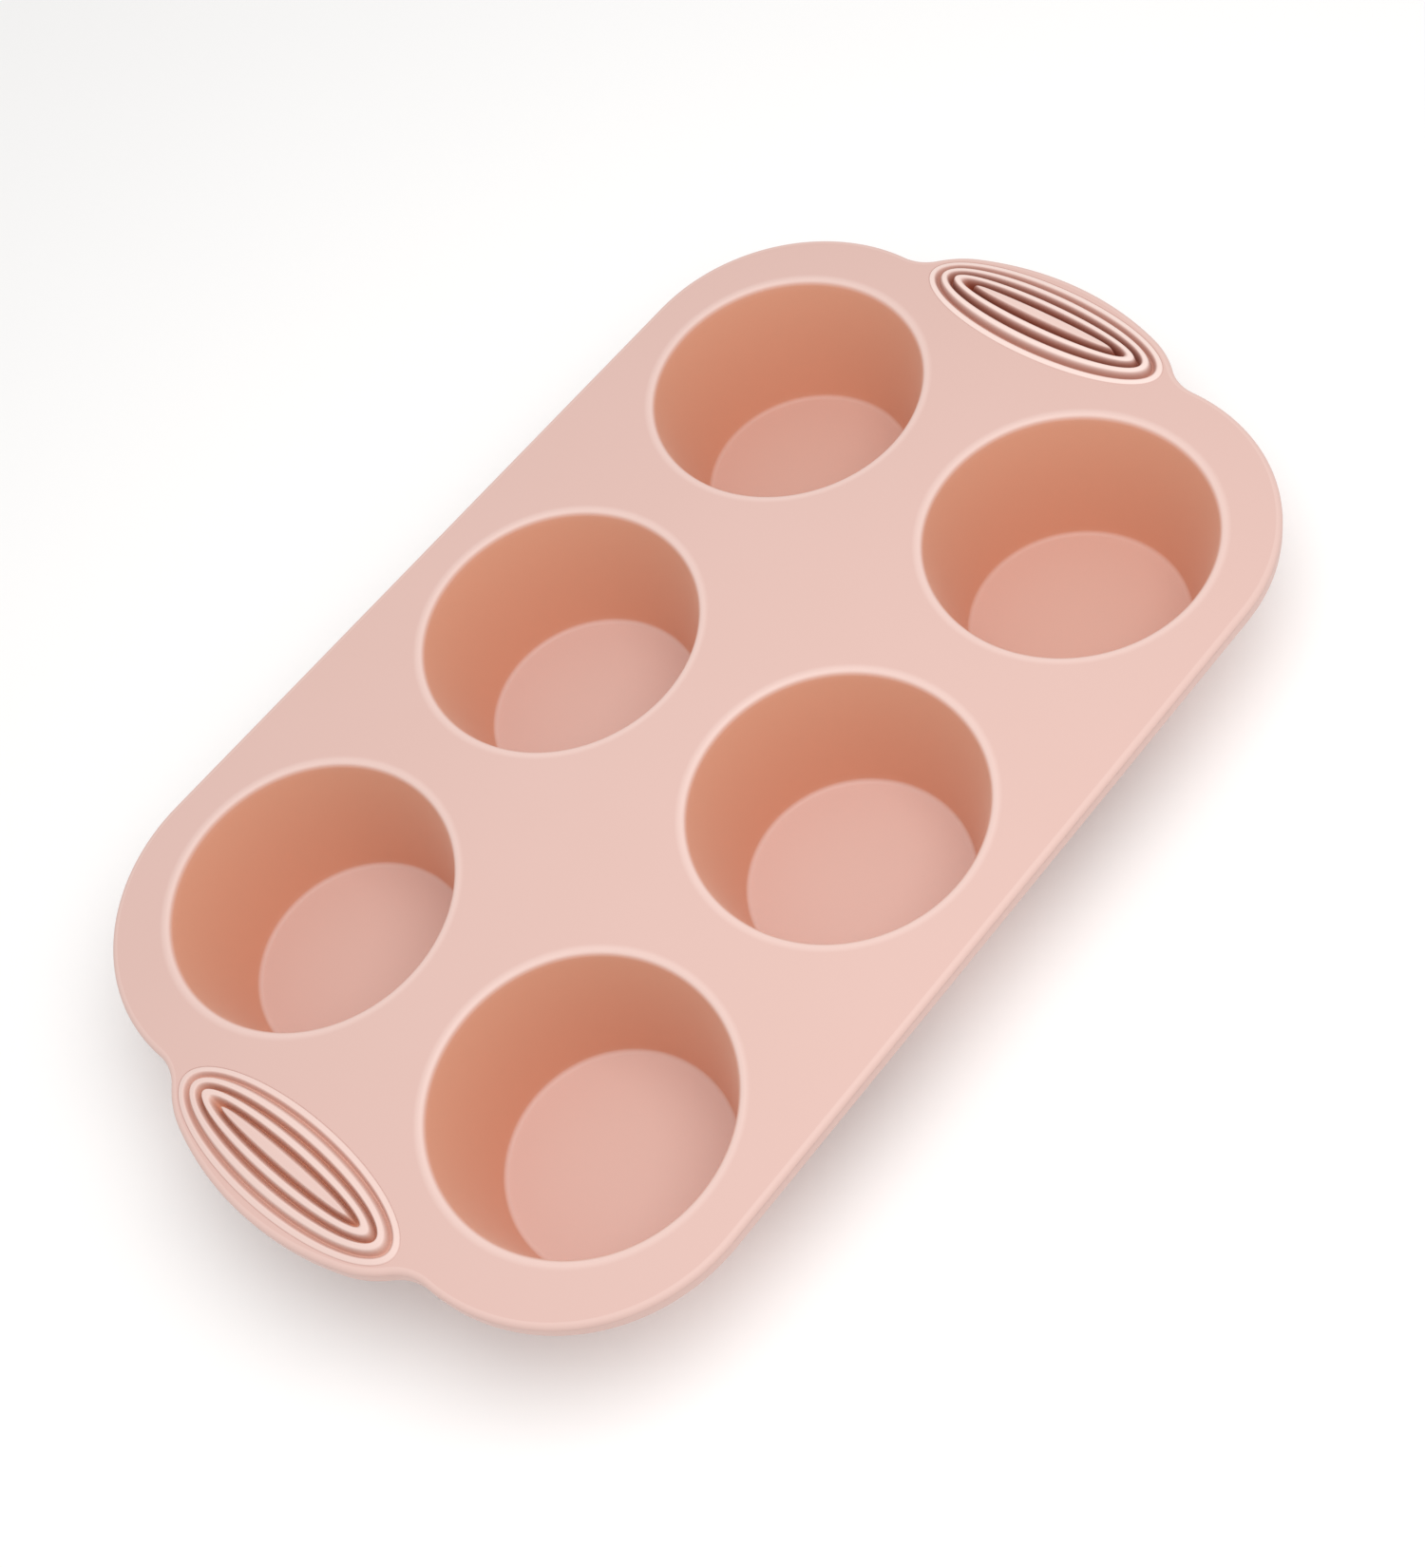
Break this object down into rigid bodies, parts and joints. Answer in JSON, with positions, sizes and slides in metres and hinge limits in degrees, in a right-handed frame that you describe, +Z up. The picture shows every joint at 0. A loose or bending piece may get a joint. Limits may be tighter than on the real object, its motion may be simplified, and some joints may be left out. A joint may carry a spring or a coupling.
{
  "type": "silicone soap mould",
  "caption": "Flexible silicone tray of round tapered cups with a turned-down edge and ribbed end grips, for casting soap, wax or resin; each cup's floor pushes up to turn the bar out.",
  "frame": {"origin": "on the surface that the cups stand on, under the middle of the tray", "axes": "+X along the tray through both grips, +Y across it, +Z up out of the cups' mouths"},
  "size_m": [0.3054, 0.1832, 0.0426],
  "materials": {
    "silicone": "satin"
  },
  "bodies": {
    "tray": {"sheet": "silicone", "edge_band": "silicone", "grip_left": "silicone", "grip_right": "silicone", "cup_wall_left_front": "silicone", "cup_wall_left_back": "silicone", "cup_wall_middle_front": "silicone", "cup_wall_middle_back": "silicone", "cup_wall_right_front": "silicone", "cup_wall_right_back": "silicone"},
    "floor_left_front": {"cup_floor_left_front": "silicone"},
    "floor_left_back": {"cup_floor_left_back": "silicone"},
    "floor_middle_front": {"cup_floor_middle_front": "silicone"},
    "floor_middle_back": {"cup_floor_middle_back": "silicone"},
    "floor_right_front": {"cup_floor_right_front": "silicone"},
    "floor_right_back": {"cup_floor_right_back": "silicone"}
  },
  "joints": [
    {"name": "push_out_left_front", "type": "slide", "parent": "tray", "child": "floor_left_front", "axis": [0, 0, 1], "range_m": [0, 0.015], "stiffness_N_per_m": 300, "deforming": ["cup_wall_left_front"]},
    {"name": "push_out_left_back", "type": "slide", "parent": "tray", "child": "floor_left_back", "axis": [0, 0, 1], "range_m": [0, 0.015], "stiffness_N_per_m": 300, "deforming": ["cup_wall_left_back"]},
    {"name": "push_out_middle_front", "type": "slide", "parent": "tray", "child": "floor_middle_front", "axis": [0, 0, 1], "range_m": [0, 0.015], "stiffness_N_per_m": 300, "deforming": ["cup_wall_middle_front"]},
    {"name": "push_out_middle_back", "type": "slide", "parent": "tray", "child": "floor_middle_back", "axis": [0, 0, 1], "range_m": [0, 0.015], "stiffness_N_per_m": 300, "deforming": ["cup_wall_middle_back"]},
    {"name": "push_out_right_front", "type": "slide", "parent": "tray", "child": "floor_right_front", "axis": [0, 0, 1], "range_m": [0, 0.015], "stiffness_N_per_m": 300, "deforming": ["cup_wall_right_front"]},
    {"name": "push_out_right_back", "type": "slide", "parent": "tray", "child": "floor_right_back", "axis": [0, 0, 1], "range_m": [0, 0.015], "stiffness_N_per_m": 300, "deforming": ["cup_wall_right_back"]}
  ]
}
